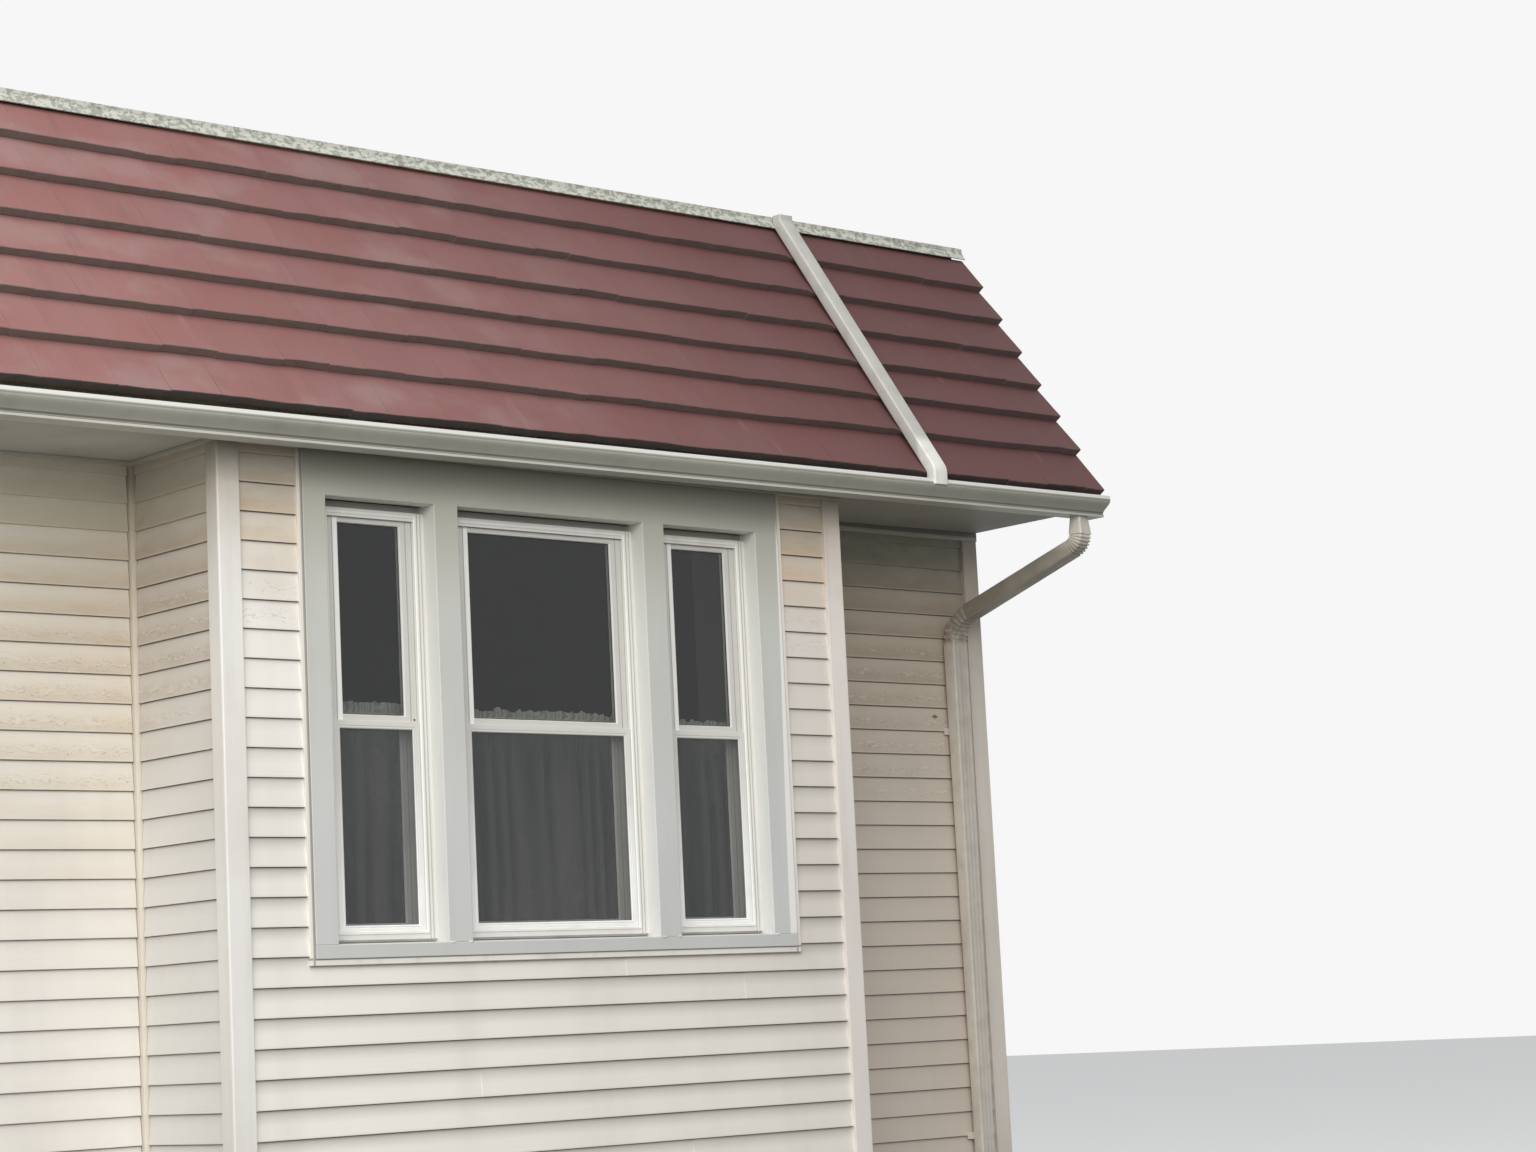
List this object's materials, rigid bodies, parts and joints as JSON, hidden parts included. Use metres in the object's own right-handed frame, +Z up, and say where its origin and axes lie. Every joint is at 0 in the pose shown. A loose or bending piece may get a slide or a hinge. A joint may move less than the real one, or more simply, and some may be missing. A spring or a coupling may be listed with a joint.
{
  "type": "bay window",
  "caption": "Shallow box bay window of a clapboard house with double-hung windows, its strip of house wall, steep shingled roof, gutter and downspouts.",
  "frame": {"origin": "on the ground on the bay's centreline, in the plane of the house wall's sheathing", "axes": "+Z up, +X to the right along the house wall as seen from outside, -Y out of the house through the bay's face"},
  "size_m": [5.2519, 0.9363, 4.5302],
  "materials": {
    "concrete": "rough",
    "floor_wood": "satin",
    "plaster": "matte",
    "siding": "matte",
    "siding_trim": "matte",
    "coil_trim": "satin",
    "window_vinyl": "satin",
    "glass": "polished",
    "screen": "matte",
    "inner_paint": "satin",
    "rod_metal": "satin",
    "curtain_cloth": "matte",
    "soffit_paint": "matte",
    "deck_wood": "rough",
    "shingle": "rough",
    "flashing": "matte",
    "gutter_metal": "satin",
    "roof_pipe_metal": "satin"
  },
  "bodies": {
    "root": {"foundation_front": "concrete", "foundation_returns": "concrete", "foundation_main": "concrete", "bay_floor": "floor_wood", "front_wall_left": "plaster", "front_wall_right": "plaster", "front_wall_apron": "plaster", "front_wall_head": "plaster", "front_wall_mullions": "plaster", "left_return_wall": "plaster", "right_return_wall": "plaster", "main_wall_left": "plaster", "main_wall_right": "plaster", "main_wall_head": "plaster", "ceiling": "plaster", "front_siding": "siding", "return_siding": "siding", "main_siding": "siding", "bay_corner_posts": "siding_trim", "inside_corners": "siding_trim", "house_corner_post": "siding_trim", "wall_top_channel": "siding_trim", "window_head_casing": "coil_trim", "window_casings": "coil_trim", "window_sill": "coil_trim", "j_channel": "siding_trim", "left_window_frame": "window_vinyl", "middle_window_frame": "window_vinyl", "right_window_frame": "window_vinyl", "upper_sashes": "window_vinyl", "lower_sashes": "window_vinyl", "glass_panes": "glass", "insect_screens": "screen", "interior_trim": "inner_paint", "curtain_rods": "rod_metal", "curtains": "curtain_cloth", "soffit": "soffit_paint", "fascia": "coil_trim", "eave_ends": "coil_trim", "roof_deck": "deck_wood", "shingles": "shingle", "top_flashing": "flashing", "gutter": "gutter_metal", "lower_downspout": "gutter_metal", "upper_downspout": "roof_pipe_metal"}
  },
  "joints": []
}
